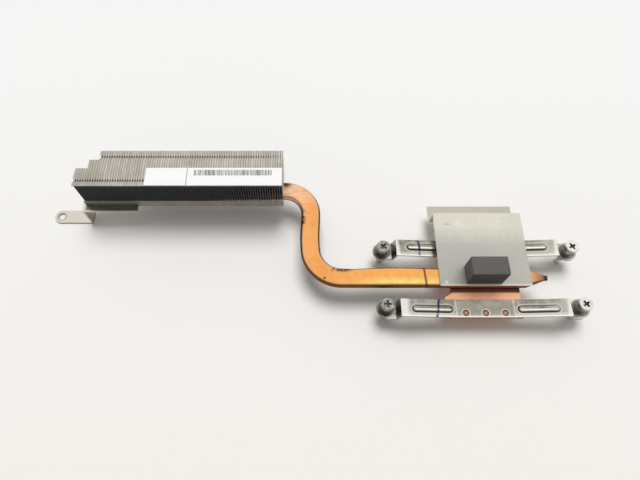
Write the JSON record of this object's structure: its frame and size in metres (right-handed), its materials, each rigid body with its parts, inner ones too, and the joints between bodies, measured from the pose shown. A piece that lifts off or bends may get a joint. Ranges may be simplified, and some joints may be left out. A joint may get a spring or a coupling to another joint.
{
  "type": "laptop heatsink",
  "caption": "Low heatsink: a stack of folded fins, a flattened pipe with bends, a copper contact plate with a sheet cover, and spring arms with captive screws.",
  "frame": {"origin": "on the copper plate's underside, where it meets the chip, midway between the four screws", "axes": "+X towards the pipe's sealed tip, +Y towards the fin stack, +Z away from the circuit board"},
  "size_m": [0.1781, 0.0529, 0.0218],
  "materials": {
    "copper_plate": "bare copper, satin, a little pink",
    "copper_pipe": "bare copper, heat-tinted orange, satin",
    "spring_steel": "bright pressed stainless steel",
    "screw_steel": "nickel plated",
    "clip_steel": "spring steel",
    "cover_sheet": "matte, fine mill grain",
    "grey_rubber": "matte dark grey",
    "fin_aluminium": "plain mill finish",
    "bracket_steel": "plain sheet, satin",
    "label_paper": "white sticker"
  },
  "bodies": {
    "heatsink": {"base_plate": "copper_plate", "heat_pipe": "copper_pipe", "front_spring_arm": "spring_steel", "rear_spring_arm": "spring_steel", "cover_plate": "cover_sheet", "rubber_block": "grey_rubber", "fins_full": "fin_aluminium", "fins_middle": "fin_aluminium", "fins_short": "fin_aluminium", "ear_bracket": "bracket_steel", "left_label": "label_paper", "right_label": "label_paper"},
    "front_left_screw": {"screw_front_left": "screw_steel", "clip_front_left": "clip_steel"},
    "front_right_screw": {"screw_front_right": "screw_steel", "clip_front_right": "clip_steel"},
    "rear_left_screw": {"screw_rear_left": "screw_steel", "clip_rear_left": "clip_steel"},
    "rear_right_screw": {"screw_rear_right": "screw_steel", "clip_rear_right": "clip_steel"}
  },
  "joints": [
    {"name": "front_left_screw_turn", "type": "hinge", "parent": "heatsink", "child": "front_left_screw", "pos_m": [-0.0304, -0.0097, 0], "axis": [0, 0, 1], "continuous": true},
    {"name": "front_right_screw_turn", "type": "hinge", "parent": "heatsink", "child": "front_right_screw", "pos_m": [0.0304, -0.0097, 0], "axis": [0, 0, 1], "continuous": true},
    {"name": "rear_left_screw_turn", "type": "hinge", "parent": "heatsink", "child": "rear_left_screw", "pos_m": [-0.0304, 0.0097, 0], "axis": [0, 0, 1], "continuous": true},
    {"name": "rear_right_screw_turn", "type": "hinge", "parent": "heatsink", "child": "rear_right_screw", "pos_m": [0.0304, 0.0097, 0], "axis": [0, 0, 1], "continuous": true}
  ]
}
